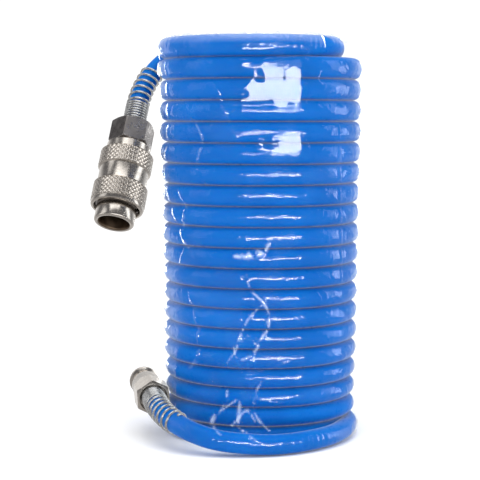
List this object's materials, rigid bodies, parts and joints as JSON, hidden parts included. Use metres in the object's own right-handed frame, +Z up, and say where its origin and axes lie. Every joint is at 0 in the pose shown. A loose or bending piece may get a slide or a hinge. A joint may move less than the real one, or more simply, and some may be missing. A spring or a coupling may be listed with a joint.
{
  "type": "coiled air hose",
  "caption": "Close-wound recoil air hose standing as a film-wrapped coil, with a sleeve-lock quick coupler on its upper end and a plug nipple on its lower end.",
  "frame": {"origin": "bottom centre of the bounding box, on the ground the coil stands on", "axes": "+Z up along the coil's axis. -Y is the side with the coupler's mouth turned to the viewer, and the two fittings hang on the -X side."},
  "size_m": [0.1114, 0.1044, 0.1631],
  "materials": {
    "hose": "smooth bright blue polyurethane",
    "film": "clear stretch film, glossy and wrinkled",
    "nickel": "satin nickel plate",
    "dark_steel": "dark plated steel",
    "spring_steel": "bright drawn wire",
    "brass": "machined",
    "rubber": "matt black"
  },
  "bodies": {
    "hose": {"hose_coil": "hose", "hose_top_turn": "hose", "hose_bottom_turn": "hose", "film_wrap": "film", "coupler_hose_end": "hose", "coupler_spring_guard": "spring_steel", "coupler_hex_nut": "dark_steel", "coupler_tail": "brass", "tail_o_ring": "rubber", "coupler_body": "nickel", "sleeve_spring": "spring_steel", "mouth_packing": "rubber", "valve_spring": "spring_steel", "plug_hose_end": "hose", "plug_spring_guard": "spring_steel", "plug_hex_nut": "nickel", "plug_nipple": "nickel"},
    "stop_ring": {"sleeve_stop_ring": "dark_steel"},
    "sleeve": {"locking_sleeve": "nickel"},
    "ball_1": {"locking_ball_1": "spring_steel"},
    "ball_2": {"locking_ball_2": "spring_steel"},
    "ball_3": {"locking_ball_3": "spring_steel"},
    "ball_4": {"locking_ball_4": "spring_steel"},
    "ball_5": {"locking_ball_5": "spring_steel"},
    "ball_6": {"locking_ball_6": "spring_steel"},
    "valve": {"valve_poppet": "brass"}
  },
  "joints": [
    {"name": "sleeve_spin", "type": "hinge", "parent": "hose", "child": "stop_ring", "pos_m": [-0.0459, -0.0083, 0.0859], "axis": [0.1491, 0.4834, 0.8626], "continuous": true},
    {"name": "sleeve_slide", "type": "slide", "parent": "stop_ring", "child": "sleeve", "axis": [0.1491, 0.4834, 0.8626], "range_m": [0, 0.0035], "stiffness_N_per_m": 1500, "springref_m": -0.005, "deforming": ["sleeve_spring"]},
    {"name": "ball_1_release", "type": "slide", "parent": "hose", "child": "ball_1", "axis": [0.0823, -0.8754, 0.4763], "range_m": [0, 0.0008]},
    {"name": "ball_2_release", "type": "slide", "parent": "hose", "child": "ball_2", "axis": [0.8945, -0.4377, 0.0906], "range_m": [0, 0.0008]},
    {"name": "ball_3_release", "type": "slide", "parent": "hose", "child": "ball_3", "axis": [0.8122, 0.4377, -0.3856], "range_m": [0, 0.0008]},
    {"name": "ball_4_release", "type": "slide", "parent": "hose", "child": "ball_4", "axis": [-0.0823, 0.8754, -0.4763], "range_m": [0, 0.0008]},
    {"name": "ball_5_release", "type": "slide", "parent": "hose", "child": "ball_5", "axis": [-0.8945, 0.4377, -0.0906], "range_m": [0, 0.0008]},
    {"name": "ball_6_release", "type": "slide", "parent": "hose", "child": "ball_6", "axis": [-0.8122, -0.4377, 0.3856], "range_m": [0, 0.0008]},
    {"name": "valve_slide", "type": "slide", "parent": "hose", "child": "valve", "axis": [0.1491, 0.4834, 0.8626], "range_m": [0, 0.0045], "stiffness_N_per_m": 800, "springref_m": -0.005, "deforming": ["valve_spring"]}
  ],
  "couplings": [
    {"joint": "ball_1_release", "follows": "sleeve_slide", "ratio": 0.22857},
    {"joint": "ball_2_release", "follows": "sleeve_slide", "ratio": 0.22857},
    {"joint": "ball_3_release", "follows": "sleeve_slide", "ratio": 0.22857},
    {"joint": "ball_4_release", "follows": "sleeve_slide", "ratio": 0.22857},
    {"joint": "ball_5_release", "follows": "sleeve_slide", "ratio": 0.22857},
    {"joint": "ball_6_release", "follows": "sleeve_slide", "ratio": 0.22857}
  ]
}
